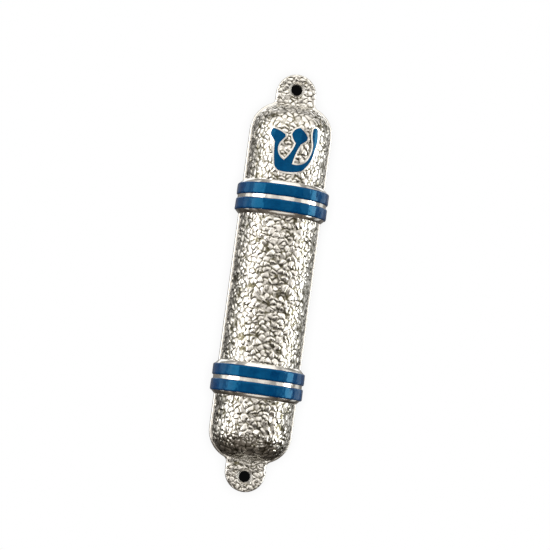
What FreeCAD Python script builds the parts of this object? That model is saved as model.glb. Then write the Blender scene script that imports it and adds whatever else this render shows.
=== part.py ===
"""Half-round cast mezuzah case with enamel stripes, a press-in rear cover and its rolled scroll.

Row frame, in millimetres: +Z runs up the case, +X is to the right seen from the front, and the front
faces -Y. The origin is on the back (wall) plane y = 0, midway between the two screw holes.

Each sub-part has its own function, and the lines at the end write one STEP file for each.
"""
import FreeCAD
import Part
import math
import os

Vector = FreeCAD.Vector
ALONG_Z = Vector(0, 0, 1)
ALONG_Y = Vector(0, 1, 0)

# Mounting plate: the flange round the dome, and the two ears it ends in.
PLATE_LENGTH = 94.3
PLATE_WIDTH = 21.6
PLATE_CORNER = 7.8
PLATE_THICK = 2.0
PLATE_EDGE_ROUND = 0.4
EAR_TIP = 55.0              # distance from the origin to the tip of each ear
EAR_RADIUS = 5.25
EAR_FILLET = 1.4
HOLE_SPACING = 102.0
HOLE_RADIUS = 1.5
HOLE_BEVEL = 0.5

# Dome: half an ellipse in section, rounded down to the plate at both ends.
FLANGE_STEP = 0.7           # width of flange that shows beside the dome
DOME_HALF_WIDTH = PLATE_WIDTH / 2 - FLANGE_STEP
DOME_RISE = 10.0            # height of the crown above the plate's front face
DOME_CORNER = PLATE_CORNER - FLANGE_STEP
DOME_HALF_LENGTH = PLATE_LENGTH / 2 - FLANGE_STEP
WALL = 1.4
CAP_ANGLES = (14, 26, 38, 52, 66, 79, 90)   # degrees round the end curve, one per loft section

# Raised bands: each carries two enamel stripes between polished rails.
UPPER_BAND_Z = 21.05
LOWER_BAND_Z = -26.25
STRIPE_WIDTH = 2.97
RAIL_WIDTH = 1.0
RAIL_RISE = 1.5             # height of a rail above the dome
STRIPE_FLOOR = 1.0          # height of the stripe channel's floor above the dome
STRIPE_RISE = 1.85          # height of the enamel above the dome
STRIPE_ROUND = 0.35
STRIPE_FOOT = 0.8           # the stripes stop this far in front of the wall plane
BAND_WIDTH = 2 * STRIPE_WIDTH + 3 * RAIL_WIDTH
BAND_BEVEL = 0.95
STRIPE_OFFSET = (STRIPE_WIDTH + RAIL_WIDTH) / 2   # from a band's middle to a stripe's middle

# Letter shin: an enamel fill inside a raised rim.
LETTER_Z = 34.05
LETTER_FLOOR = 0.1          # height of the enamel's underside above the dome
LETTER_RISE = 0.55
LETTER_RIM_RISE = 0.65
LETTER_RIM_WIDTH = 0.38

# Rear opening, its cover and the scroll inside.
REBATE_DEPTH = 1.4
REBATE_HALF_WIDTH = 9.35
REBATE_HALF_LENGTH = 45.6
REBATE_CORNER = 6.3
PRY_NOTCH_RADIUS = 3.0
PRY_NOTCH_REACH = 0.8       # how far the notch cuts past the cover's edge
PRY_NOTCH_DEPTH = 2.0
COVER_GAP = 0.1
COVER_THICK = 1.2
COVER_SEAT_GAP = 0.05
LEG_OUTER_X = 8.35
LEG_THICK = 0.9
LEG_LENGTH = 7.0
LEG_TIP_DEPTH = 4.2
LEG_TIP_ROUND = 0.3
LEG_Z = (-33.0, -11.0, 11.0, 33.0)
SLEEVE_RADIUS = 4.4
SLEEVE_WALL = 0.15
SLEEVE_LENGTH = 74.0
SLEEVE_GAP = 0.15           # between the sleeve and the cover
SCROLL_RADIUS = 4.1
SCROLL_LENGTH = 70.0
SCROLL_SHEET = 0.35
SCROLL_PITCH = 0.5
SCROLL_TURNS = 3.4
SPIRAL_STEPS = 24           # points on each turn of the spiral
SCROLL_Y = -(REBATE_DEPTH - COVER_SEAT_GAP + SLEEVE_GAP + SLEEVE_RADIUS)

FAR = 20.0                  # longer than any depth in the part, for cutting tools
PAST_WALL = 1.0             # how far a cutting tool runs out behind the wall plane
FLAT = 1e-4                 # an edge shorter than this across a plane lies in that plane


def arch_wire(half_width, rise, z, foot_y):
    """An arch at height z: half an ellipse on the plate's front plane, with legs back to foot_y."""
    centre = Vector(0, -PLATE_THICK, z)
    right = Vector(half_width, -PLATE_THICK, z)
    left = Vector(-half_width, -PLATE_THICK, z)
    crown = Vector(0, -PLATE_THICK - rise, z)
    arc = Part.ArcOfEllipse(Part.Ellipse(right, crown, centre), 0, math.pi).toShape()
    left_foot = Vector(-half_width, foot_y, z)
    right_foot = Vector(half_width, foot_y, z)
    edges = [
        arc,
        Part.makeLine(left, left_foot),
        Part.makeLine(left_foot, right_foot),
        Part.makeLine(right_foot, right),
    ]
    return Part.Wire(Part.__sortEdges__(edges))


def arch_block(offset, z_low, z_high, foot_y):
    """A straight length of the dome's section, grown outward by offset."""
    wire = arch_wire(DOME_HALF_WIDTH + offset, DOME_RISE + offset, z_low, foot_y)
    return Part.Face(wire).extrude(Vector(0, 0, z_high - z_low))


def domed_block(offset, foot_y):
    """The whole dome grown outward by offset (inward if negative), with both ends rounded down."""
    corner = DOME_CORNER + offset
    flat_half = DOME_HALF_WIDTH - DOME_CORNER
    rise = DOME_RISE + offset
    straight = DOME_HALF_LENGTH - DOME_CORNER
    block = arch_block(offset, -straight, straight, foot_y)
    for side in (-1, 1):
        sections = []
        for degrees in CAP_ANGLES:
            angle = math.radians(degrees)
            z = side * (straight + corner * math.cos(angle))
            half_width = flat_half + corner * math.sin(angle)
            sections.append(arch_wire(half_width, rise * math.sin(angle), z, foot_y))
        block = block.fuse(Part.makeLoft(sections, True))
    return block


def rounded_slab(half_width, half_length, corner, y_front, y_back):
    """A slab parallel to the wall plane, with its four corners rounded."""
    low = Vector(-half_width, y_front, -half_length)
    slab = Part.makeBox(2 * half_width, y_back - y_front, 2 * half_length, low)
    return slab.makeFillet(corner, [e for e in slab.Edges if runs_along_y(e)])


def runs_along_y(edge):
    return abs(edge.tangentAt(edge.FirstParameter).y) > 0.99


def y_cylinder(radius, x, z, y_front, y_back):
    """A round bar square to the wall plane."""
    return Part.makeCylinder(radius, y_back - y_front, Vector(x, y_front, z), ALONG_Y)


def edges_on_plane(solid, y):
    """Edges that lie wholly on the plane at this y."""
    return [e for e in solid.Edges if e.BoundBox.YMin > y - FLAT and e.BoundBox.YMax < y + FLAT]


def mounting_plate():
    """The flange and both ears as one plate, with blended roots and a softened front edge."""
    plate = rounded_slab(PLATE_WIDTH / 2, PLATE_LENGTH / 2, PLATE_CORNER, -PLATE_THICK, 0)
    ear_centre = EAR_TIP - EAR_RADIUS
    for side in (-1, 1):
        plate = plate.fuse(y_cylinder(EAR_RADIUS, 0, side * ear_centre, -PLATE_THICK, 0))
    neck_corner = Vector(-EAR_RADIUS, -PLATE_THICK, -ear_centre)
    plate = plate.fuse(Part.makeBox(2 * EAR_RADIUS, PLATE_THICK, 2 * ear_centre, neck_corner))
    plate = plate.removeSplitter()
    roots = [
        e
        for e in plate.Edges
        if runs_along_y(e)
        and abs(abs(e.CenterOfMass.x) - EAR_RADIUS) < FLAT
        and abs(e.CenterOfMass.z) < ear_centre - FLAT
    ]
    plate = plate.makeFillet(EAR_FILLET, roots)
    return plate.makeFillet(PLATE_EDGE_ROUND, edges_on_plane(plate, -PLATE_THICK))


def raised_band(middle_z):
    """The smooth silver band round the dome, with sloping outer rails, before its channels are cut."""
    band = arch_block(RAIL_RISE, middle_z - BAND_WIDTH / 2, middle_z + BAND_WIDTH / 2, 0)
    rims = [e for e in band.Edges if e.BoundBox.ZLength < FLAT and e.BoundBox.YMin < -FLAT]
    return band.makeChamfer(BAND_BEVEL, rims)


def stripe_ring(middle_z, rise):
    """One stripe's arch-shaped strip, from its channel's floor out to rise above the dome."""
    low = middle_z - STRIPE_WIDTH / 2
    high = middle_z + STRIPE_WIDTH / 2
    outer = arch_block(rise, low, high, -STRIPE_FOOT)
    inner = arch_block(STRIPE_FLOOR, low, high, 0)
    return outer.cut(inner)


def stripe_heights():
    """The middle z of the four stripes, from the top down, with the name of each."""
    return {
        "upper_band_top_stripe": UPPER_BAND_Z + STRIPE_OFFSET,
        "upper_band_bottom_stripe": UPPER_BAND_Z - STRIPE_OFFSET,
        "lower_band_top_stripe": LOWER_BAND_Z + STRIPE_OFFSET,
        "lower_band_bottom_stripe": LOWER_BAND_Z - STRIPE_OFFSET,
    }


def stripe_enamel(middle_z):
    """The enamel in one stripe channel, proud of the rails, with rounded shoulders."""
    ring = stripe_ring(middle_z, STRIPE_RISE)
    mid_skin = DOME_HALF_WIDTH + (STRIPE_FLOOR + STRIPE_RISE) / 2
    shoulders = [
        e
        for e in ring.Edges
        if e.BoundBox.ZLength < FLAT
        and e.BoundBox.YLength > FLAT
        and max(e.BoundBox.XMax, -e.BoundBox.XMin) > mid_skin
    ]
    return ring.makeFillet(STRIPE_ROUND, shoulders)


def letter_wire():
    """The outline of a plain calligraphic shin, from lines (two points) and arcs (three points)."""
    runs = [
        # Left arm: its slanted head, then down the outside of the stem.
        [(-3.1, 1.4), (-1.95, 2.9)],
        [(-1.95, 2.9), (-2.1, 3.45)],
        [(-2.1, 3.45), (-3.75, 4.4), (-5.4, 4.85)],
        [(-5.4, 4.85), (-5.75, 4.1), (-5.8, 3.1)],
        [(-5.8, 3.1), (-4.5, 1.35)],
        [(-4.5, 1.35), (-4.4, -1.2), (-4.0, -4.1)],
        # Bowl, from the left stem round to the tip of the right arm.
        [(-4.0, -4.1), (-3.4, -5.45), (-2.0, -6.1)],
        [(-2.0, -6.1), (0.7, -6.1), (3.3, -5.4)],
        [(3.3, -5.4), (5.1, -2.95), (6.1, 0.5)],
        [(6.1, 0.5), (6.5, 3.0), (6.3, 5.4)],
        [(6.3, 5.4), (5.65, 6.25), (4.95, 5.5)],
        # Inside of the right arm, down to the foot of the middle stem.
        [(4.95, 5.5), (4.95, 4.1), (5.3, 2.5)],
        [(5.3, 2.5), (5.45, 0.6), (4.8, -1.7)],
        [(4.8, -1.7), (3.0, -3.7), (0.6, -3.95)],
        # Middle arm, up its right side, over its head and down its left side.
        [(0.6, -3.95), (1.15, -1.3), (2.2, 1.35)],
        [(2.2, 1.35), (3.6, 2.55)],
        [(3.6, 2.55), (3.85, 3.4)],
        [(3.85, 3.4), (2.7, 4.8), (1.6, 5.6)],
        [(1.6, 5.6), (0.3, 5.0), (-0.4, 3.7)],
        [(-0.4, 3.7), (0.05, 2.5), (0.85, 1.5)],
        [(0.85, 1.5), (0.0, -0.8), (-1.65, -3.15)],
        # Inside of the left arm.
        [(-1.65, -3.15), (-3.35, -1.2), (-3.1, 1.4)],
    ]
    edges = []
    for run in runs:
        points = [Vector(x, 0, LETTER_Z + z) for x, z in run]
        if len(points) == 2:
            edges.append(Part.makeLine(*points))
        else:
            edges.append(Part.Arc(*points).toShape())
    return Part.Wire(edges)


def letter_column(grow):
    """The letter's outline, grown by grow, run forward from the wall plane through the crown."""
    wire = letter_wire()
    if grow > 0:
        wire = wire.makeOffset2D(grow)
    return Part.Face(wire).extrude(Vector(0, -FAR, 0))


def upper_arch(offset):
    """The dome's straight section over the whole upper half, grown outward by offset."""
    return arch_block(offset, 0, DOME_HALF_LENGTH, 0)


def letter_rim():
    """The raised ground of the letter, which the pocket turns into a thin rim."""
    return letter_column(LETTER_RIM_WIDTH).common(upper_arch(LETTER_RIM_RISE)).cut(upper_arch(-WALL / 2))


def letter_pocket():
    return letter_column(0).cut(upper_arch(LETTER_FLOOR))


def letter_enamel():
    return letter_column(0).common(upper_arch(LETTER_RISE)).cut(upper_arch(LETTER_FLOOR))


def rear_opening():
    """The hollow for the scroll, the rebate that the cover sits in, and the notch to pry it out by."""
    notch_x = REBATE_HALF_WIDTH + PRY_NOTCH_REACH - PRY_NOTCH_RADIUS
    rebate = rounded_slab(REBATE_HALF_WIDTH, REBATE_HALF_LENGTH, REBATE_CORNER, -REBATE_DEPTH, PAST_WALL)
    notch = y_cylinder(PRY_NOTCH_RADIUS, notch_x, 0, -PRY_NOTCH_DEPTH, PAST_WALL)
    return domed_block(-WALL, 0).fuse(rebate).fuse(notch)


def screw_hole(z):
    """A clear hole through an ear, with a small bevel at its front."""
    bevel_start = Vector(0, -PLATE_THICK, z)
    bevel = Part.makeCone(HOLE_RADIUS + HOLE_BEVEL, HOLE_RADIUS, HOLE_BEVEL, bevel_start, ALONG_Y)
    return y_cylinder(HOLE_RADIUS, 0, z, -FAR, PAST_WALL).fuse(bevel)


def case_shell():
    """The casting: plate, hollow dome, bands and letter rim in one piece."""
    shell = mounting_plate().fuse(domed_block(0, -PLATE_THICK / 2))
    for middle_z in (UPPER_BAND_Z, LOWER_BAND_Z):
        shell = shell.fuse(raised_band(middle_z))
    for middle_z in stripe_heights().values():
        shell = shell.cut(stripe_ring(middle_z, STRIPE_RISE + PAST_WALL))
    shell = shell.fuse(letter_rim()).cut(letter_pocket())
    shell = shell.cut(rear_opening())
    for z in (-HOLE_SPACING / 2, HOLE_SPACING / 2):
        shell = shell.cut(screw_hole(z))
    return shell.removeSplitter()


def rear_cover():
    """The press-in cover: a plate that sits on the ledge, with friction legs along both sides."""
    front = -REBATE_DEPTH + COVER_SEAT_GAP
    cover = rounded_slab(
        REBATE_HALF_WIDTH - COVER_GAP,
        REBATE_HALF_LENGTH - COVER_GAP,
        REBATE_CORNER - COVER_GAP,
        front,
        front + COVER_THICK,
    )
    leg_height = LEG_TIP_DEPTH + front + COVER_THICK / 2
    for z in LEG_Z:
        for x in (-LEG_OUTER_X, LEG_OUTER_X - LEG_THICK):
            corner = Vector(x, -LEG_TIP_DEPTH, z - LEG_LENGTH / 2)
            leg = Part.makeBox(LEG_THICK, leg_height, LEG_LENGTH, corner)
            cover = cover.fuse(leg.makeFillet(LEG_TIP_ROUND, edges_on_plane(leg, -LEG_TIP_DEPTH)))
    return cover.removeSplitter()


def spiral_edge(radius_start, z):
    """A smooth spiral that winds inward from radius_start, at height z."""
    points = []
    for step in range(round(SCROLL_TURNS * SPIRAL_STEPS) + 1):
        turns = step / SPIRAL_STEPS
        angle = 2 * math.pi * turns
        radius = radius_start - SCROLL_PITCH * turns
        points.append(Vector(radius * math.cos(angle), SCROLL_Y + radius * math.sin(angle), z))
    curve = Part.BSplineCurve()
    curve.interpolate(points)
    return curve.toShape()


def parchment_scroll():
    """The parchment as one rolled sheet, seen from its end as a spiral."""
    low = -SCROLL_LENGTH / 2
    outer = spiral_edge(SCROLL_RADIUS, low)
    inner = spiral_edge(SCROLL_RADIUS - SCROLL_SHEET, low)
    edges = [
        outer,
        Part.makeLine(outer.Vertexes[-1].Point, inner.Vertexes[-1].Point),
        inner,
        Part.makeLine(inner.Vertexes[0].Point, outer.Vertexes[0].Point),
    ]
    section = Part.Face(Part.Wire(Part.__sortEdges__(edges)))
    return section.extrude(Vector(0, 0, SCROLL_LENGTH))


def scroll_sleeve():
    """The clear film tube that keeps the parchment dry."""
    low = Vector(0, SCROLL_Y, -SLEEVE_LENGTH / 2)
    outer = Part.makeCylinder(SLEEVE_RADIUS, SLEEVE_LENGTH, low, ALONG_Z)
    return outer.cut(Part.makeCylinder(SLEEVE_RADIUS - SLEEVE_WALL, SLEEVE_LENGTH, low, ALONG_Z))


def write(name, shape):
    shape.exportStep(os.path.join("parts", name + ".step"))


os.makedirs("parts", exist_ok=True)
write("case_shell", case_shell())
for stripe_name, stripe_z in stripe_heights().items():
    write(stripe_name, stripe_enamel(stripe_z))
write("letter_enamel", letter_enamel())
write("rear_cover", rear_cover())
write("parchment_scroll", parchment_scroll())
write("scroll_sleeve", scroll_sleeve())
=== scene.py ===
import math
from contextlib import contextmanager

import bmesh
import bpy
import numpy as np
from mathutils import Matrix, Vector, noise
from mathutils.kdtree import KDTree

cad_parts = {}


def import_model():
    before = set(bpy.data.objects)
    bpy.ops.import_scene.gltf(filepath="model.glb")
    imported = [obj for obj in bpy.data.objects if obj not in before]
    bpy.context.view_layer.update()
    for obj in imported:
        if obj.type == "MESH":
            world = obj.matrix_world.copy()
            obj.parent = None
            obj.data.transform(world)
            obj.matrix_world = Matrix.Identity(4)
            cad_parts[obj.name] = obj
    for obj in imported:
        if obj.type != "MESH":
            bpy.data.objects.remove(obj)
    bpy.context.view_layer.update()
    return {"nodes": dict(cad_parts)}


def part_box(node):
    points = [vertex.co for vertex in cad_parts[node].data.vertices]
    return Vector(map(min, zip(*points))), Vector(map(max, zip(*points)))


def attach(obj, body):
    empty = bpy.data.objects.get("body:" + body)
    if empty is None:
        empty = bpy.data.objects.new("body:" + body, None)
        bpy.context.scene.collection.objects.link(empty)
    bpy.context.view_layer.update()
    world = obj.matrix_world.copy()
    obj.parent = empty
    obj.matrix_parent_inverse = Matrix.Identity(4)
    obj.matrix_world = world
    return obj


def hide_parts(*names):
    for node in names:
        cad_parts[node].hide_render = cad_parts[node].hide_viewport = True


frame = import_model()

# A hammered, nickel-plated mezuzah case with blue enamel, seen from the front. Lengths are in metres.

MM = 0.001

# ---------------------------------------------------------------- the case, as designed
PLATE_FRONT = -2.0 * MM          # y of the mounting plate's front face
DOME_HALF_WIDTH = 10.1 * MM
DOME_RISE = 10.0 * MM
DOME_CORNER = 7.1 * MM
DOME_HALF_LENGTH = 46.45 * MM
EAR_RADIUS = 5.25 * MM
EAR_CENTRE_Z = 49.75 * MM
HOLE_Z = 51.0 * MM
HOLE_RADIUS = 1.5 * MM
HOLE_RING = 1.75 * MM            # radius of the smooth ring round a screw hole

SCROLL_RADIUS = 4.1 * MM
SCROLL_HALF_LENGTH = 35.0 * MM
SCROLL_SHEET = 0.35 * MM
SCROLL_PITCH = 0.5 * MM          # how much nearer the middle each turn of the scroll lies
SCROLL_TURNS = 3.4
SCROLL_COCKLE = 0.05 * MM        # how far the parchment strays from an even winding
COCKLE_SIZE = 7 * MM
END_SLIP = 0.3 * MM              # the most that a turn's end lies short of the scroll's full length
END_SLIP_SIZE = 1.5 * MM
SLEEVE_RADIUS = 4.4 * MM
SLEEVE_WALL = 0.15 * MM
SLEEVE_RIPPLE = 0.03 * MM        # how far the film is out of round
RIPPLE_LENGTH = 5 * MM
SEAM_TURN = math.radians(65)     # where the film's seam lies round the scroll
SEAM_HALF_TURN = 0.09            # half its width, in radians
SEAM_RISE = 0.05 * MM
COVER_BACK = -0.15 * MM          # y of the cover's rear face
COVER_ROUNDING = 0.1 * MM

# ---------------------------------------------------------------- enamel surface
ENAMEL_SWELL = 0.07 * MM         # how far the enamel swells past its CAD fill
STRIPE_WAVE = 0.07 * MM          # and how uneven it is, in the stripes
LETTER_WAVE = 0.05 * MM          # and in the letter
WAVE_SIZE = 2.2 * MM
SMALL_WAVE_SIZE = 0.9 * MM
SMALL_WAVE_SHARE = 0.4           # height of the small waves beside the large ones
STRIPE_VOXEL = 0.14 * MM
LETTER_VOXEL = 0.08 * MM

# ---------------------------------------------------------------- marks on the cover's rear face
PANEL_RADIUS = 6.6 * MM          # the shallow panel that runs down its middle
PANEL_HALF_STRAIGHT = 36.0 * MM
PANEL_DEPTH = 0.30 * MM
GATE_RADIUS = 1.4 * MM           # where the plastic entered the mould
GATE_Z = -20.0 * MM
GATE_DEPTH = 0.55 * MM
PIN_RADIUS = 1.2 * MM            # where pins pushed it out again
PIN_PLACES = (-36.0 * MM, -4.0 * MM, 12.0 * MM, 36.0 * MM)
PIN_DEPTH = 0.42 * MM
PILL_STEPS = 48                  # points round the outline of each of these marks

# ---------------------------------------------------------------- hammered relief
BLOW_SPACING = 1.52 * MM         # from one hammer mark to the next, round the girth
EAR_SPACING = 1.20 * MM          # the same on the ears, where the marks are smaller
ROW_GAP_SHARE = 0.87             # from one row of marks to the next, beside the spacing round the girth
BLOW_SHIFT = (-0.3, 1.3)         # a mark lies between these shares of its step round the girth
ARC_POINTS = 64                  # the girth is measured along this many points
FACET_TILT = 0.12                # slope of a mark's face, away from the smooth surface
FACET_CROWN = 0.04 * MM          # how far a mark's face falls from its middle to its edge
FACET_DROP = 0.12 * MM           # the most that one mark lies lower than another
GROOVE_SHARE = 0.36              # a groove starts where one mark is the nearer by this share of the spacing
GROOVE_DEPTH = 0.24 * MM
GROOVE_POWER = 1.5               # how steeply a groove falls in towards its middle
WARP_SIZE = 1.1 * MM             # the marks' outlines wander at this scale
WARP_REACH = 0.45 * MM
RIPPLE_SIZE = 0.45 * MM          # fine ripples inside the marks
RIPPLE_RISE = 0.018 * MM
RELIEF_LOW = 0.02 * MM           # the relief's lowest and highest points over the smooth surface
RELIEF_HIGH = 0.30 * MM
SKIN_STEP = 0.20 * MM            # grid spacing of the hammered skins
SKIN_DEPTH = 0.7 * MM            # the skins reach this far into the casting's wall
SKIN_BACK = -1.8 * MM            # their borders run back to here, inside the plate
SEED = 11

EAR_STEP = 0.8 * SKIN_STEP       # grid spacing of the ears' skins
EAR_ROOT_Z = DOME_HALF_LENGTH - 0.4 * MM    # they start here, under the dome's tip
EAR_MARGIN = 0.08 * MM           # they keep this far off the ear's rim and the ring round its hole
EAR_FADE_START = 0.15 * MM       # the marks are absent this far from the rim and the ring,
EAR_FADE_LENGTH = 0.20 * MM      # and at full height this much further
EAR_SINK = 0.05 * MM             # where the marks are absent, the skin lies this far under the plate

# ---------------------------------------------------------------- shading and welding
CASTING_CREASE = 38              # degrees; a sharper edge than this is shaded as an edge
COVER_CREASE = 35
SHEET_CREASE = 50
CAD_WELD = 0.0001 * MM
SHEET_WELD = 0.001 * MM

random = np.random.default_rng(SEED)
noise.seed_set(SEED)             # noise_vector gives a different field on each run without this


# ---------------------------------------------------------------- mesh helpers
def make_object(name, vertices, faces):
    mesh = bpy.data.meshes.new(name)
    mesh.from_pydata([tuple(v) for v in vertices], [], faces)
    piece = bpy.data.objects.new(name, mesh)
    bpy.context.scene.collection.objects.link(piece)
    return piece


def grid_faces(rows, columns):
    """Quads over a grid of points that are numbered row by row."""
    corner = np.arange(rows * columns).reshape(rows, columns)
    quads = np.stack([corner[:-1, :-1], corner[:-1, 1:], corner[1:, 1:], corner[1:, :-1]], axis=-1)
    return quads.reshape(-1, 4)


@contextmanager
def editing(piece):
    """Gives the piece's mesh as a bmesh, and writes it back at the end of the with block."""
    bm = bmesh.new()
    bm.from_mesh(piece.data)
    yield bm
    bm.to_mesh(piece.data)
    bm.free()


def close_back(piece, back_y):
    """Turns an open sheet into a solid: its borders run straight back to a flat face at back_y."""
    with editing(piece) as bm:
        border = [edge for edge in bm.edges if edge.is_boundary]
        made = bmesh.ops.extrude_edge_only(bm, edges=border)["geom"]
        for vertex in made:
            if isinstance(vertex, bmesh.types.BMVert):
                vertex.co.y = back_y
        bottom = [edge for edge in made if isinstance(edge, bmesh.types.BMEdge) and edge.is_boundary]
        bmesh.ops.triangle_fill(bm, edges=bottom, use_beauty=False)
        bmesh.ops.recalc_face_normals(bm, faces=bm.faces)


def apply_modifiers(piece):
    depsgraph = bpy.context.evaluated_depsgraph_get()
    mesh = bpy.data.meshes.new_from_object(piece.evaluated_get(depsgraph))
    piece.modifiers.clear()
    piece.data = mesh


def boolean(piece, tool, operation):
    """Joins or cuts piece by tool, and deletes tool."""
    step = piece.modifiers.new("boolean", "BOOLEAN")
    step.operation = operation
    step.solver = "MANIFOLD"
    step.object = tool
    apply_modifiers(piece)
    bpy.data.objects.remove(tool)


def weld(piece, distance):
    with editing(piece) as bm:
        bmesh.ops.remove_doubles(bm, verts=bm.verts, dist=distance)


def copy_of(node, name):
    """A new piece with the shape of a CAD node, its seams welded."""
    piece = bpy.data.objects.new(name, frame["nodes"][node].data.copy())
    bpy.context.scene.collection.objects.link(piece)
    weld(piece, CAD_WELD)
    return piece


def smooth_by_angle(piece, degrees):
    """Smooth shading, with a crisp edge wherever two faces meet at more than this angle."""
    limit = math.radians(degrees)
    with editing(piece) as bm:
        for face in bm.faces:
            face.smooth = True
        for edge in bm.edges:
            edge.smooth = edge.is_manifold and edge.calc_face_angle(0) < limit


def even_flats(piece):
    """Shades each large flat face as flat, right up to the small rounded edges beside it."""
    step = piece.modifiers.new("normals", "WEIGHTED_NORMAL")
    step.weight = 100
    step.keep_sharp = True
    apply_modifiers(piece)


def settle(piece, node, body):
    """Puts a piece in a CAD node's place, on the body that the node belongs to."""
    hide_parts(node)
    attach(piece, body)


# ---------------------------------------------------------------- hammered relief
def dome_surface(along, turn, depth=0.0):
    """Points at this depth under the smooth dome, and the outward normals there.

    along is the distance up the crown from the middle, and turn runs from 0 at the right foot to pi at the
    left one. Beyond the straight part the section shrinks to nothing round a quarter turn.
    """
    straight = DOME_HALF_LENGTH - DOME_CORNER
    end = np.sign(along)
    tip = (np.abs(along) - straight).clip(0) / DOME_CORNER
    cos_tip, sin_tip = np.cos(tip), np.sin(tip)
    half_width = DOME_HALF_WIDTH - DOME_CORNER * (1 - cos_tip)
    rise = DOME_RISE * cos_tip
    x = half_width * np.cos(turn)
    y = PLATE_FRONT - rise * np.sin(turn)
    z = end * (np.abs(along).clip(None, straight) + DOME_CORNER * sin_tip)
    out_x = DOME_RISE * DOME_CORNER * cos_tip ** 2 * np.cos(turn)
    out_y = -half_width * DOME_CORNER * np.sin(turn) * cos_tip
    across = half_width * np.sin(turn) ** 2 + DOME_CORNER * cos_tip * np.cos(turn) ** 2
    out_z = end * DOME_RISE * sin_tip * across
    out = np.stack([out_x, out_y, out_z], axis=-1)
    out /= np.linalg.norm(out, axis=-1, keepdims=True)
    return np.stack([x, y, z], axis=-1) - depth * out, out


def dome_rows(spacing):
    """Evenly spaced distances along the crown, just short of both tips."""
    reach = DOME_HALF_LENGTH - DOME_CORNER + DOME_CORNER * math.radians(89)
    return np.linspace(-reach, reach, int(2 * reach / spacing))


def dome_grid(spacing):
    """The crown distances and turns of a grid over the whole dome."""
    girth = math.pi * (DOME_HALF_WIDTH + DOME_RISE) / 2
    return np.meshgrid(dome_rows(spacing), np.linspace(0, math.pi, int(girth / spacing)), indexing="ij")


def dome_blows():
    """Centres of the hammer marks on the dome, in uneven rows."""
    row_gap = ROW_GAP_SHARE * BLOW_SPACING
    arc = np.linspace(0, math.pi, ARC_POINTS)
    centres = []
    for along in dome_rows(row_gap):
        across, _ = dome_surface(np.full(ARC_POINTS, along), arc)
        girth = np.linalg.norm(np.diff(across, axis=0), axis=-1).sum()
        count = max(3, round(girth / BLOW_SPACING))
        turn = (np.arange(count) + random.uniform(*BLOW_SHIFT, count)) / count * math.pi
        jitter = random.uniform(-0.5, 0.5, count) * row_gap
        centres.append(dome_surface(along + jitter, turn)[0])
    return np.concatenate(centres)


def relief(points, centres, spacing):
    """The hammered relief's height at each point, and how deep in a groove the point lies, from 0 to 1."""
    drops = random.uniform(0, FACET_DROP, len(centres))
    tilts = random.normal(0, FACET_TILT, (len(centres), 3))
    tree = KDTree(len(centres))
    for index, centre in enumerate(centres):
        tree.insert(Vector(centre), index)
    tree.balance()
    heights = np.empty(len(points))
    grooves = np.empty(len(points))
    for index, point in enumerate(points):
        here = Vector(point)
        astray = here + WARP_REACH * noise.noise_vector(here / WARP_SIZE)
        (middle, mark, near), (_, _, next_near) = tree.find_n(astray, 2)
        face = (astray - middle).dot(tilts[mark]) - drops[mark] - FACET_CROWN * (2 * near / spacing) ** 2
        groove = max(0.0, 1 - (next_near - near) / (GROOVE_SHARE * spacing)) ** GROOVE_POWER
        ripple = RIPPLE_RISE * noise.noise(here / RIPPLE_SIZE)
        heights[index] = (1 - groove) * face - groove * GROOVE_DEPTH + ripple
        grooves[index] = groove
    return (RELIEF_HIGH + heights).clip(RELIEF_LOW, RELIEF_HIGH), grooves


def keep_grooves(piece, grooves):
    """Stores on the mesh how deep in a groove each vertex lies, for the tarnish."""
    layer = piece.data.attributes.new("groove", "FLOAT", "POINT")
    layer.data.foreach_set("value", grooves.astype(np.float32))


def dome_core():
    """What lies under the hammered skin, as a solid that also runs out of the back."""
    along, turn = dome_grid(4 * SKIN_STEP)
    points, _ = dome_surface(along, turn, SKIN_DEPTH)
    core = make_object("dome_core", points.reshape(-1, 3), grid_faces(*along.shape).tolist())
    close_back(core, SKIN_DEPTH)
    return core


def hammered_dome():
    """The dome's outer skin as a thin solid, hammered all over."""
    along, turn = dome_grid(SKIN_STEP)
    points, out = dome_surface(along, turn)
    flat = points.reshape(-1, 3)
    heights, grooves = relief(flat, dome_blows(), BLOW_SPACING)
    lifted = flat + out.reshape(-1, 3) * heights[:, None]
    skin = make_object("hammered_dome", lifted, grid_faces(*along.shape).tolist())
    keep_grooves(skin, grooves)
    close_back(skin, SKIN_BACK)
    boolean(skin, dome_core(), "DIFFERENCE")
    return skin


def scattered(low_x, high_x, low_z, high_z, gap):
    """Points (x, z) over a rectangle, one to each square of this size and anywhere within it."""
    x, z = np.meshgrid(np.arange(low_x, high_x, gap), np.arange(low_z, high_z, gap))
    return [coordinate.reshape(-1) + random.uniform(0, gap, x.size) for coordinate in (x, z)]


def on_plate(x, z, side):
    """Points on the plate's front, at the upper ear for side 1 and mirrored to the lower one for -1."""
    return np.stack([x, np.full(x.shape, PLATE_FRONT), side * z], axis=-1).reshape(-1, 3)


def ear_margin(x, z):
    """How far each point lies inside the ear's rim and outside the ring round its hole."""
    from_rim = EAR_RADIUS - np.hypot(x, (z - EAR_CENTRE_Z).clip(0))
    from_hole = np.hypot(x, z - HOLE_Z) - HOLE_RING
    return np.minimum(from_rim, from_hole)


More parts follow.
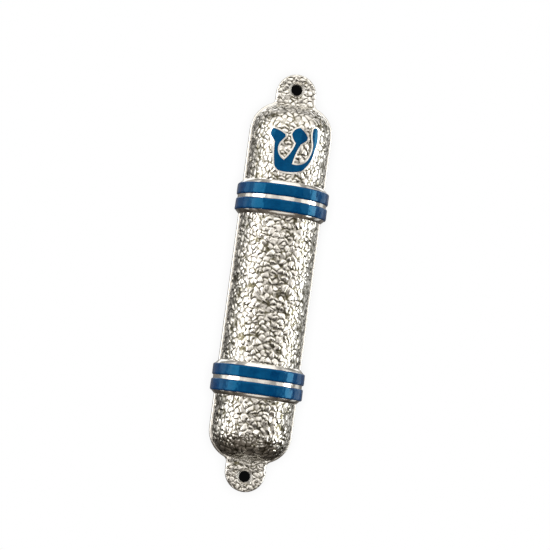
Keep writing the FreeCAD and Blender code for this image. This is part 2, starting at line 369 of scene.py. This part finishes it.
def hammered_ear(side):
    """The hammered front of one ear. It fades out at the ear's rim and at the ring round its hole."""
    top = EAR_CENTRE_Z + EAR_RADIUS
    columns = np.arange(-EAR_RADIUS, EAR_RADIUS, EAR_STEP)
    x, z = np.meshgrid(columns, np.arange(EAR_ROOT_Z, top, EAR_STEP), indexing="ij")
    margin = ear_margin(x, z).reshape(-1)
    fade = ((margin - EAR_FADE_START) / EAR_FADE_LENGTH).clip(0, 1)
    points = on_plate(x, z, side)
    marks = on_plate(*scattered(-EAR_RADIUS, EAR_RADIUS, EAR_ROOT_Z, top, EAR_SPACING), side)
    heights, grooves = relief(points, marks, EAR_SPACING)
    points[:, 1] -= heights * fade - EAR_SINK * (1 - fade)
    faces = grid_faces(*x.shape)
    inside = margin > EAR_MARGIN
    ear = make_object("hammered_ear", points, faces[inside[faces].all(axis=1)].tolist())
    keep_grooves(ear, grooves * fade)
    with editing(ear) as bm:
        unused = [vertex for vertex in bm.verts if not vertex.link_faces]
        bmesh.ops.delete(bm, geom=unused, context="VERTS")
    close_back(ear, SKIN_BACK)
    return ear


def drop_crumbs(bm):
    """Deletes the slivers that a join can leave beside the piece: every connected part but the largest."""
    left = set(bm.verts)
    parts = []
    while left:
        front = [left.pop()]
        part = list(front)
        while front:
            vertex = front.pop()
            fresh = {edge.other_vert(vertex) for edge in vertex.link_edges} & left
            left -= fresh
            front.extend(fresh)
            part.extend(fresh)
        parts.append(part)
    parts.sort(key=len)
    crumbs = [vertex for part in parts[:-1] for vertex in part]
    bmesh.ops.delete(bm, geom=crumbs, context="VERTS")


def left_dull(face):
    """True inside the hollow and its rebate, on the back face and round the plate's edge.

    These are the faces that aren't polished before plating.
    """
    middle = face.calc_center_median()
    from_axis = Vector((middle.x, middle.y - PLATE_FRONT, 0))
    inside = face.normal.dot(from_axis) < -0.5 * MM
    on_back = middle.y > -0.1 * MM and face.normal.y > 0.9
    on_edge = middle.y > PLATE_FRONT + 0.1 * MM and abs(face.normal.y) < 0.5
    return inside or on_back or on_edge


def case_casting():
    """The whole casting: the designed shell with its hammered skins welded on."""
    casting = copy_of("case_shell", "case_casting")
    boolean(casting, hammered_dome(), "UNION")
    for side in (-1, 1):
        boolean(casting, hammered_ear(side), "UNION")
    smooth_by_angle(casting, CASTING_CREASE)
    casting.data.materials.clear()
    casting.data.materials.append(nickel_plate())
    casting.data.materials.append(raw_casting())
    with editing(casting) as bm:
        drop_crumbs(bm)
        for face in bm.faces:
            face.material_index = int(left_dull(face))
    settle(casting, "case_shell", "case")


# ---------------------------------------------------------------- enamel
def enamel_lift(place, wave):
    """How far the enamel's surface stands out from the CAD fill at this place."""
    large = noise.noise(place / WAVE_SIZE)
    small = noise.noise(place / SMALL_WAVE_SIZE)
    return ENAMEL_SWELL + wave * large + SMALL_WAVE_SHARE * wave * small


def enamel_fill(node, name, voxel, wave, material):
    """A CAD enamel fill with softened edges, a slight swell over its rails and an uneven surface."""
    fill = copy_of(node, name)
    remesh = fill.modifiers.new("remesh", "REMESH")
    remesh.mode = "VOXEL"
    remesh.voxel_size = voxel
    soften = fill.modifiers.new("soften", "SMOOTH")
    soften.factor = 0.5
    soften.iterations = 3
    apply_modifiers(fill)
    mesh = fill.data
    moved = [vertex.co + vertex.normal * enamel_lift(vertex.co, wave) for vertex in mesh.vertices]
    mesh.vertices.foreach_set("co", np.array(moved, np.float32).reshape(-1))
    mesh.polygons.foreach_set("use_smooth", [True] * len(mesh.polygons))
    mesh.update()
    fill.data.materials.clear()
    fill.data.materials.append(material)
    settle(fill, node, "case")


def enamel_fills():
    material = blue_enamel()
    for band in ("upper_band", "lower_band"):
        for place in ("top", "bottom"):
            node = f"{band}_{place}_stripe"
            enamel_fill(node, node + "_fill", STRIPE_VOXEL, STRIPE_WAVE, material)
    enamel_fill("letter_enamel", "letter_fill", LETTER_VOXEL, LETTER_WAVE, material)


# ---------------------------------------------------------------- rear cover
def prism(outline, y_front, y_back):
    """A closed prism through the given (x, z) outline, square to the wall, to cut with."""
    count = len(outline)
    front = [(x, y_front, z) for x, z in outline]
    back = [(x, y_back, z) for x, z in outline]
    sides = [(i, (i + 1) % count, count + (i + 1) % count, count + i) for i in range(count)]
    caps = [tuple(range(count)), tuple(range(count, 2 * count))]
    piece = make_object("prism", front + back, caps + sides)
    with editing(piece) as bm:
        bmesh.ops.recalc_face_normals(bm, faces=bm.faces)
        bmesh.ops.triangulate(bm, faces=bm.faces)
    return piece


def pill(radius, half_straight, middle_z=0.0):
    """The (x, z) outline of two half circles joined by straight sides, upright."""
    outline = []
    for step in range(PILL_STEPS):
        turn = 2 * math.pi * (step + 0.5) / PILL_STEPS
        shift = math.copysign(half_straight, math.sin(turn))
        outline.append((radius * math.cos(turn), middle_z + shift + radius * math.sin(turn)))
    return outline


def rear_cover():
    """The cover with soft edges, a shallow panel in its back and the marks of the mould's gate and pins."""
    cover = copy_of("rear_cover", "rear_cover_moulding")
    cuts = [
        (pill(PANEL_RADIUS, PANEL_HALF_STRAIGHT), PANEL_DEPTH),
        (pill(GATE_RADIUS, 0, GATE_Z), GATE_DEPTH),
        *[(pill(PIN_RADIUS, 0, middle_z), PIN_DEPTH) for middle_z in PIN_PLACES],
    ]
    for outline, depth in cuts:
        cut = prism(outline, COVER_BACK - depth, COVER_BACK + 1 * MM)
        boolean(cover, cut, "DIFFERENCE")
    merge = cover.modifiers.new("merge", "DECIMATE")
    merge.decimate_type = "DISSOLVE"
    merge.angle_limit = math.radians(1)
    soften = cover.modifiers.new("soften", "BEVEL")
    soften.width = COVER_ROUNDING
    soften.segments = 2
    soften.limit_method = "ANGLE"
    soften.angle_limit = math.radians(COVER_CREASE)
    apply_modifiers(cover)
    smooth_by_angle(cover, COVER_CREASE)
    even_flats(cover)
    cover.data.materials.clear()
    cover.data.materials.append(cover_plastic())
    settle(cover, "rear_cover", "cover")


# ---------------------------------------------------------------- scroll
def rolled_surface(name, angles, rows, radius_at, thickness):
    """A thin solid sheet wound round the scroll's axis. radius_at gives its radius by angle and height."""
    low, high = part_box("scroll_sleeve")
    axis_y = (low.y + high.y) / 2
    angle, z = np.meshgrid(angles, rows, indexing="ij")
    radius = radius_at(angle, z)
    points = np.stack([radius * np.cos(angle), axis_y + radius * np.sin(angle), z], axis=-1)
    sheet = make_object(name, points.reshape(-1, 3), grid_faces(*angle.shape).tolist())
    weld(sheet, SHEET_WELD)
    solid = sheet.modifiers.new("thickness", "SOLIDIFY")
    solid.thickness = thickness
    solid.offset = 0
    apply_modifiers(sheet)
    smooth_by_angle(sheet, SHEET_CREASE)
    return sheet


def cloud(x, z, size):
    """Smooth noise from -1 to 1 over a grid of angles or lengths x and heights z."""
    flat = [noise.noise(Vector((a, b, 0)) / size) for a, b in zip(x.reshape(-1), z.reshape(-1))]
    return np.array(flat).reshape(x.shape)


def uneven_ends(sheet):
    """Draws in the scroll's two ends, here more and there less."""
    for vertex in sheet.data.vertices:
        if abs(vertex.co.z) > SCROLL_HALF_LENGTH - 0.1 * MM:
            cloudiness = noise.noise(Vector((vertex.co.x, vertex.co.y, 0)) / END_SLIP_SIZE)
            slip = END_SLIP * (0.5 + 0.5 * cloudiness)
            vertex.co.z -= math.copysign(slip, vertex.co.z)
    sheet.data.update()


def parchment_scroll():
    """The parchment: one sheet, wound up with slightly uneven turns and a gently cockled surface."""

    def radius_at(angle, z):
        winding = SCROLL_RADIUS - SCROLL_SHEET / 2 - SCROLL_PITCH * angle / (2 * math.pi)
        return winding + SCROLL_COCKLE * cloud(angle * SCROLL_RADIUS, z, COCKLE_SIZE)

    angles = np.linspace(0, 2 * math.pi * SCROLL_TURNS, 260)
    rows = np.linspace(-SCROLL_HALF_LENGTH, SCROLL_HALF_LENGTH, 90)
    sheet = rolled_surface("rolled_parchment", angles, rows, radius_at, SCROLL_SHEET * 0.9)
    uneven_ends(sheet)
    sheet.data.materials.append(parchment())
    settle(sheet, "parchment_scroll", "scroll")


def scroll_sleeve():
    """The clear film tube, a little out of round, with its heat-sealed seam standing proud."""
    low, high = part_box("scroll_sleeve")

    def radius_at(angle, z):
        seam = np.exp(-((angle - SEAM_TURN) / SEAM_HALF_TURN) ** 2)
        ripple = cloud(np.sin(angle) * SLEEVE_RADIUS, z, RIPPLE_LENGTH)
        return SLEEVE_RADIUS - SLEEVE_WALL + SEAM_RISE * seam + SLEEVE_RIPPLE * ripple

    angles = np.linspace(0, 2 * math.pi, 120)
    rows = np.linspace(low.z, high.z, 130)
    tube = rolled_surface("film_sleeve", angles, rows, radius_at, SLEEVE_WALL * 0.7)
    tube.data.materials.append(clear_film())
    settle(tube, "scroll_sleeve", "scroll")


# ---------------------------------------------------------------- materials
class Recipe:
    """A node material under construction. Every texture is laid out in the piece's own space, in metres."""

    def __init__(self, name):
        self.material = bpy.data.materials.new(name)
        self.material.use_nodes = True
        self.nodes = self.material.node_tree.nodes
        self.links = self.material.node_tree.links
        self.shader = self.nodes["Principled BSDF"]
        self.place = self.nodes.new("ShaderNodeTexCoord").outputs["Object"]

    def set(self, **values):
        """Sets the shader's inputs. A value is a number, a colour or another node's output."""
        for name, value in values.items():
            label = name.replace("_", " ").title().replace("Ior", "IOR")
            self.feed(self.shader.inputs[label], value)

    def feed(self, socket, value):
        """Links a node's output to the socket, or sets it to a number or to a colour without alpha."""
        if isinstance(value, bpy.types.NodeSocket):
            self.links.new(value, socket)
        elif isinstance(value, tuple):
            socket.default_value = (*value, 1)
        else:
            socket.default_value = value

    def noise(self, size, detail, stretch=(1, 1, 1)):
        """Cloudy noise from 0 to 1, with clouds of about this size."""
        scaled = self.nodes.new("ShaderNodeVectorMath")
        scaled.operation = "MULTIPLY"
        self.links.new(self.place, scaled.inputs[0])
        scaled.inputs[1].default_value = stretch
        texture = self.nodes.new("ShaderNodeTexNoise")
        self.links.new(scaled.outputs[0], texture.inputs["Vector"])
        texture.inputs["Scale"].default_value = 1 / size
        texture.inputs["Detail"].default_value = detail
        return texture.outputs["Fac"]

    def spread(self, value, low, high, to_low=0.0, to_high=1.0):
        """Maps low..high to to_low..to_high, and holds it there beyond."""
        ramp = self.nodes.new("ShaderNodeMapRange")
        self.feed(ramp.inputs["Value"], value)
        ramp.inputs["From Min"].default_value = low
        ramp.inputs["From Max"].default_value = high
        ramp.inputs["To Min"].default_value = to_low
        ramp.inputs["To Max"].default_value = to_high
        return ramp.outputs["Result"]

    def mix(self, factor, first, second):
        """Mixes two colours."""
        mixer = self.nodes.new("ShaderNodeMix")
        mixer.data_type = "RGBA"
        self.feed(mixer.inputs["Factor"], factor)
        self.feed(mixer.inputs[6], first)
        self.feed(mixer.inputs[7], second)
        return mixer.outputs[2]

    def math(self, operation, first, second):
        step = self.nodes.new("ShaderNodeMath")
        step.operation = operation
        self.feed(step.inputs[0], first)
        self.feed(step.inputs[1], second)
        return step.outputs[0]

    def openness(self, reach):
        """1 in the open, and towards 0 in corners and recesses narrower than reach."""
        occlusion = self.nodes.new("ShaderNodeAmbientOcclusion")
        occlusion.samples = 16
        occlusion.inputs["Distance"].default_value = reach
        return occlusion.outputs["AO"]

    def bump(self, height, distance):
        """Roughens the surface: where height goes from 0 to 1, it rises by this distance."""
        step = self.nodes.new("ShaderNodeBump")
        self.feed(step.inputs["Height"], height)
        step.inputs["Distance"].default_value = distance
        self.links.new(step.outputs["Normal"], self.shader.inputs["Normal"])


def nickel_plate():
    """Bright nickel plate, a little warm, worn bright on high spots and tarnished in its hollows."""
    recipe = Recipe("nickel_plate")
    patches = recipe.noise(6 * MM, 3)
    clean = recipe.mix(patches, (0.86, 0.84, 0.79), (0.78, 0.76, 0.72))
    groove = recipe.nodes.new("ShaderNodeAttribute")
    groove.attribute_name = "groove"
    broken = recipe.spread(recipe.noise(1.1 * MM, 1), 0.38, 0.55, 0.45, 1.0)
    tarnish = recipe.math("MULTIPLY", recipe.spread(groove.outputs["Fac"], 0.12, 0.62, 0.0, 1.0), broken)
    recipe.set(
        base_color=recipe.mix(tarnish, clean, (0.12, 0.11, 0.07)),
        metallic=1.0,
        roughness=recipe.spread(recipe.noise(2.5 * MM, 4), 0.35, 0.7, 0.08, 0.19),
    )
    dents = recipe.math("MULTIPLY", recipe.noise(1.3 * MM, 1), 4.0)
    recipe.bump(recipe.math("ADD", dents, recipe.noise(0.30 * MM, 2)), 0.012 * MM)
    return recipe.material


def raw_casting():
    """The casting's inside, back and edge: thin plating over a dull, mottled surface."""
    recipe = Recipe("raw_casting")
    recipe.set(
        base_color=recipe.mix(recipe.noise(1.6 * MM, 5), (0.44, 0.43, 0.40), (0.60, 0.59, 0.56)),
        metallic=1.0,
        roughness=recipe.spread(recipe.noise(0.8 * MM, 3), 0.3, 0.7, 0.36, 0.52),
    )
    recipe.bump(recipe.noise(0.35 * MM, 3), 0.03 * MM)
    return recipe.material


def blue_enamel():
    """Glossy blue enamel, its blue a little deeper in some patches than in others, at random."""
    recipe = Recipe("blue_enamel")
    recipe.set(
        base_color=recipe.mix(recipe.noise(2.4 * MM, 3), (0.000, 0.013, 0.08), (0.000, 0.064, 0.195)),
        specular_tint=(0.06, 0.60, 1.0),
        roughness=recipe.spread(recipe.noise(1.5 * MM, 2), 0.3, 0.7, 0.05, 0.14),
        ior=1.62,
    )
    recipe.bump(recipe.noise(0.9 * MM, 1), 0.020 * MM)
    return recipe.material


def cover_plastic():
    """Off-white moulded plastic with a fine spark-eroded grain and a few scuffs."""
    recipe = Recipe("cover_plastic")
    scuffs = recipe.spread(recipe.noise(0.5 * MM, 6, (1, 1, 0.3)), 0.62, 0.72)
    plain = recipe.mix(recipe.noise(9 * MM, 2), (0.60, 0.58, 0.52), (0.67, 0.65, 0.60))
    # painted shade: the plastic is drawn darker, towards a brown grey, in its corners and recesses, where
    # the openness is low
    painted_recess_shade = recipe.spread(recipe.openness(0.8 * MM), 0.35, 0.80, 0.8, 0.0)
    recess_shaded_plain = recipe.mix(painted_recess_shade, plain, (0.30, 0.27, 0.22))
    recipe.set(
        base_color=recipe.mix(recipe.math("MULTIPLY", scuffs, 0.35), recess_shaded_plain, (0.48, 0.46, 0.41)),
        roughness=recipe.spread(recipe.noise(3 * MM, 3), 0.3, 0.7, 0.36, 0.50),
        subsurface_weight=0.05,
        subsurface_scale=0.4 * MM,
    )
    recipe.bump(recipe.noise(0.18 * MM, 2), 0.012 * MM)
    return recipe.material


def parchment():
    """Cream parchment, mottled, with fine fibres that run along the sheet."""
    recipe = Recipe("parchment")
    mottle = recipe.mix(recipe.noise(3.5 * MM, 5), (0.70, 0.59, 0.41), (0.84, 0.76, 0.59))
    fibres = recipe.spread(recipe.noise(0.25 * MM, 4, (1, 1, 0.25)), 0.35, 0.65, 0.0, 0.35)
    recipe.set(
        base_color=recipe.mix(fibres, mottle, (0.60, 0.50, 0.34)),
        roughness=recipe.spread(recipe.noise(1.0 * MM, 2), 0.3, 0.7, 0.58, 0.78),
        subsurface_weight=0.1,
        subsurface_scale=0.5 * MM,
    )
    recipe.bump(recipe.noise(0.3 * MM, 4, (1, 1, 0.3)), 0.02 * MM)
    return recipe.material


def clear_film():
    """Clear film: nearly invisible face on, and brighter where it turns away."""
    recipe = Recipe("clear_film")
    turned = recipe.nodes.new("ShaderNodeLayerWeight")
    turned.inputs["Blend"].default_value = 0.35
    recipe.set(
        base_color=(0.92, 0.94, 0.95),
        roughness=recipe.spread(recipe.noise(2 * MM, 2), 0.3, 0.7, 0.06, 0.16),
        alpha=recipe.spread(turned.outputs["Facing"], 0.0, 1.0, 0.14, 0.75),
    )
    recipe.bump(recipe.noise(1.6 * MM, 2, (1, 1, 0.3)), 0.03 * MM)
    return recipe.material


# ---------------------------------------------------------------- studio
# Soft light panels in the room: the direction each one lies in, its half-size as a fraction of its distance
# (x, y, z), its strength and its tint.
PANELS = (
    ((0.00, -0.72, 0.69), (1.00, 0.70, 0.50), 0.45, (1.00, 0.98, 0.95)),
    ((-0.93, -0.37, 0.00), (0.28, 0.40, 0.72), 2.1, (1.00, 0.98, 0.98)),
    ((0.99, -0.16, 0.00), (0.24, 0.24, 0.85), 3.6, (0.98, 1.00, 0.98)),
    ((0.84, 0.50, 0.00), (0.22, 0.26, 0.80), 0.6, (0.98, 1.00, 0.98)),
    ((-0.97, 0.26, 0.00), (0.20, 0.18, 0.80), 0.7, (1.00, 1.00, 0.96)),
    ((0.00, -0.68, -0.73), (0.60, 0.30, 0.26), 0.8, (1.00, 0.97, 0.92)),
    ((0.00, 0.80, 0.60), (0.95, 0.40, 0.40), 1.3, (1.00, 1.00, 1.00)),
)
# Dark cards in front of the room's fill: direction, half-size and how much of the fill they hold back.
CARDS = (
    ((0.05, -0.90, -0.42), (0.80, 0.60, 0.22), 0.60),
    ((0.60, -0.80, 0.00), (0.20, 0.23, 0.80), 0.50),
)
SOFT_EDGE = 0.55                  # a panel or card fades out from here to its edge
FILL_BELOW = (0.15, 0.13, 0.11)   # the room's own light, from the floor
FILL_ABOVE = (1.00, 0.96, 0.91)   # and from the ceiling
FILL_BEHIND = 0.28                # behind the case this much of it is left
FILL_UNEVEN = (0.86, 1.46)        # the fill varies between these, over patches of the room
PATCHES = 2.2                     # how many such patches fit in one radian

WALL_HALF = 400 * MM
WALL_BEHIND = 0.05 * MM           # y of the wall, a hair behind the case
CONTACT_REACH = 3 * MM
SHADOW_BEHIND = 0.02 * MM         # y of the dark discs behind the screw holes
SHADOW_BRIGHTNESS = 0.004


class Sky:
    """The studio's surroundings under construction: what light comes from each direction."""

    def __init__(self, name):
        studio = bpy.data.worlds.new(name)
        bpy.context.scene.world = studio
        studio.use_nodes = True
        self.nodes = studio.node_tree.nodes
        self.links = studio.node_tree.links
        self.direction = self.nodes.new("ShaderNodeTexCoord").outputs["Generated"]

    def vector(self, operation, *values):
        step = self.nodes.new("ShaderNodeVectorMath")
        step.operation = operation
        for socket, value in zip(step.inputs, values):
            if isinstance(value, bpy.types.NodeSocket):
                self.links.new(value, socket)
            else:
                socket.default_value = value
        return step.outputs["Value"] if operation == "LENGTH" else step.outputs["Vector"]

    def fade(self, value, low, high, to_low, to_high):
        """Maps low..high smoothly to to_low..to_high, and holds it there beyond."""
        step = self.nodes.new("ShaderNodeMapRange")
        step.interpolation_type = "SMOOTHSTEP"
        self.links.new(value, step.inputs["Value"])
        limits = {"From Min": low, "From Max": high, "To Min": to_low, "To Max": to_high}
        for name, number in limits.items():
            step.inputs[name].default_value = number
        return step.outputs["Result"]

    def patch(self, toward, size):
        """1 within a soft-edged ellipse round one direction, and 0 beyond it."""
        offset = self.vector("SUBTRACT", self.direction, Vector(toward).normalized())
        reach = self.vector("LENGTH", self.vector("DIVIDE", offset, size))
        return self.fade(reach, SOFT_EDGE, 1.0, 1.0, 0.0)

    def fill(self):
        """The room's own uneven light: paler above, dimmer behind the case."""
        parts = self.nodes.new("ShaderNodeSeparateXYZ")
        self.links.new(self.direction, parts.inputs[0])
        above = self.fade(parts.outputs["Z"], -0.5, 0.3, 0.0, 1.0)
        rise = self.vector("MULTIPLY", above, [high - low for low, high in zip(FILL_BELOW, FILL_ABOVE)])
        ahead = self.fade(parts.outputs["Y"], -0.15, 0.35, 1.0, FILL_BEHIND)
        light = self.vector("MULTIPLY", self.vector("ADD", rise, FILL_BELOW), ahead)
        patches = self.nodes.new("ShaderNodeTexNoise")
        self.links.new(self.direction, patches.inputs["Vector"])
        patches.inputs["Scale"].default_value = PATCHES
        return self.vector("MULTIPLY", light, self.fade(patches.outputs["Fac"], 0.35, 0.65, *FILL_UNEVEN))

    def show(self, light):
        """Lights the scene with this, and shows the camera plain white."""
        ray = self.nodes.new("ShaderNodeLightPath")
        pick = self.nodes.new("ShaderNodeMix")
        pick.data_type = "RGBA"
        self.links.new(ray.outputs["Is Camera Ray"], pick.inputs["Factor"])
        self.links.new(light, pick.inputs[6])
        pick.inputs[7].default_value = (1, 1, 1, 1)
        self.links.new(pick.outputs[2], self.nodes["Background"].inputs["Color"])


def world():
    """The studio: light panels and dark cards in a dim room."""
    sky = Sky("studio")
    light = sky.fill()
    for toward, size, depth in CARDS:
        shade = sky.vector("MULTIPLY", sky.patch(toward, size), [-depth] * 3)
        light = sky.vector("MULTIPLY", light, sky.vector("ADD", shade, [1.0] * 3))
    for toward, size, strength, tint in PANELS:
        glow = sky.vector("MULTIPLY", sky.patch(toward, size), [strength * part for part in tint])
        light = sky.vector("ADD", glow, light)
    sky.show(light)


def camera():
    """The camera of the product shot: a little from the left and below, and rolled."""
    distance = 586 * MM
    frame_width = 143.8 * MM      # of the plane through the case's middle that fills the picture
    azimuth = math.radians(-3.7)
    elevation = math.radians(-3.9)
    roll = math.radians(7.7)
    data = bpy.data.cameras.new("camera")
    shot = bpy.data.objects.new("camera", data)
    bpy.context.scene.collection.objects.link(shot)
    back = Vector((
        math.sin(azimuth) * math.cos(elevation),
        -math.cos(azimuth) * math.cos(elevation),
        math.sin(elevation),
    ))
    turn = (-back).to_track_quat("-Z", "Y").to_matrix() @ Matrix.Rotation(roll, 3, "Z")
    shot.matrix_world = Matrix.Translation(back * distance) @ turn.to_4x4()
    data.angle = 2 * math.atan(frame_width / 2 / distance)
    data.shift_x = 0.0082         # the case isn't quite in the middle of the picture
    data.shift_y = 0.0136
    bpy.context.scene.camera = shot


def stage_sheet(name, corners, brightness_of):
    """A sheet that only the camera sees, and only from the front.

    brightness_of takes the sheet's recipe and gives the brightness, as a number or a node's output.
    """
    sheet = make_object(name, corners, [tuple(range(len(corners)))])
    sheet.visible_diffuse = False
    sheet.visible_glossy = False
    sheet.visible_transmission = False
    sheet.visible_shadow = False
    recipe = Recipe(name)
    glow = recipe.nodes.new("ShaderNodeEmission")
    recipe.feed(glow.inputs["Strength"], brightness_of(recipe))
    clear = recipe.nodes.new("ShaderNodeBsdfTransparent")
    side = recipe.nodes.new("ShaderNodeNewGeometry")
    pick = recipe.nodes.new("ShaderNodeMixShader")
    recipe.links.new(side.outputs["Backfacing"], pick.inputs["Fac"])
    recipe.links.new(glow.outputs[0], pick.inputs[1])
    recipe.links.new(clear.outputs[0], pick.inputs[2])
    recipe.links.new(pick.outputs[0], recipe.nodes["Material Output"].inputs["Surface"])
    sheet.data.materials.append(recipe.material)


def contact_shading(recipe):
    """White in the open, and a little grey close to the case."""
    return recipe.spread(recipe.openness(CONTACT_REACH), 0.48, 0.95, 0.93, 1.0)


def wall():
    """The pale surface that the case lies on."""
    half, behind = WALL_HALF, WALL_BEHIND
    corners = [(-half, behind, -half), (half, behind, -half), (half, behind, half), (-half, behind, half)]
    stage_sheet("wall", corners, contact_shading)


def hole_shadows():
    """The dark that is seen through each screw hole, just in front of the wall."""
    rim = 1.2 * HOLE_RADIUS
    turns = np.linspace(0, 2 * math.pi, 32, endpoint=False)
    for side in (-1, 1):
        middle_z = side * HOLE_Z
        circle = [(rim * math.cos(t), SHADOW_BEHIND, middle_z + rim * math.sin(t)) for t in turns]
        stage_sheet("hole_shadow", circle, lambda recipe: SHADOW_BRIGHTNESS)


bpy.context.scene.view_settings.view_transform = "Standard"
case_casting()
enamel_fills()
rear_cover()
parchment_scroll()
scroll_sleeve()
wall()
hole_shadows()
world()
camera()
